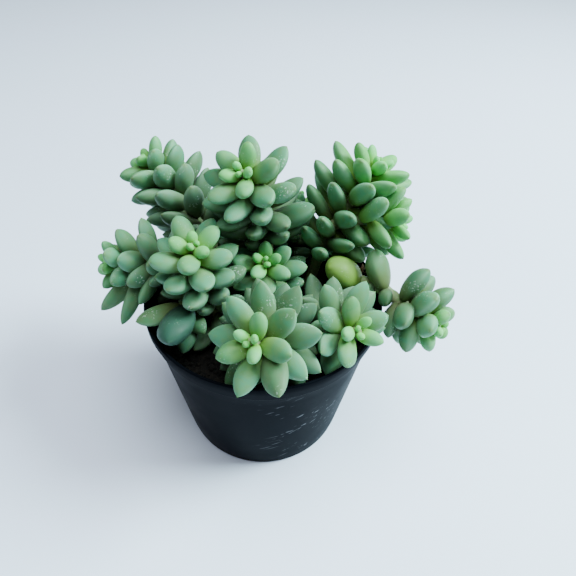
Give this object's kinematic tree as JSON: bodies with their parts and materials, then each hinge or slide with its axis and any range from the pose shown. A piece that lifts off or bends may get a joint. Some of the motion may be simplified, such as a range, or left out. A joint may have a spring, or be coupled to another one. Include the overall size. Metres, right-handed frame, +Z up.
{
  "type": "potted burros tail plant",
  "caption": "Trailing succulent with plump, pointed leaves spiralled on curved stems, growing in soil in a thin round nursery pot with a collar.",
  "frame": {"origin": "centre of the pot's base, on the surface it stands on", "axes": "+Z up along the pot's axis; -Y towards the side seen in the picture; +X to its right"},
  "size_m": [0.1191, 0.0972, 0.1106],
  "materials": {
    "pot": "thin black moulded plastic, satin, scuffed and dusty low on the front",
    "soil": "dark damp potting soil",
    "leaf": "fleshy leaf with a pale waxy bloom"
  },
  "bodies": {
    "root": {"pot": "pot", "soil": "soil", "leafy_stem_upper_left": "leaf", "leafy_stem_upper_middle": "leaf", "leafy_stem_upper_right": "leaf", "leafy_stem_left": "leaf", "leafy_stem_middle_left": "leaf", "leafy_stem_middle": "leaf", "leafy_stem_front": "leaf", "leafy_stem_front_right": "leaf", "leafy_stem_right": "leaf", "leafy_stem_back_right": "leaf", "leafy_stem_back_left": "leaf", "leafy_stem_front_left": "leaf"}
  },
  "joints": []
}
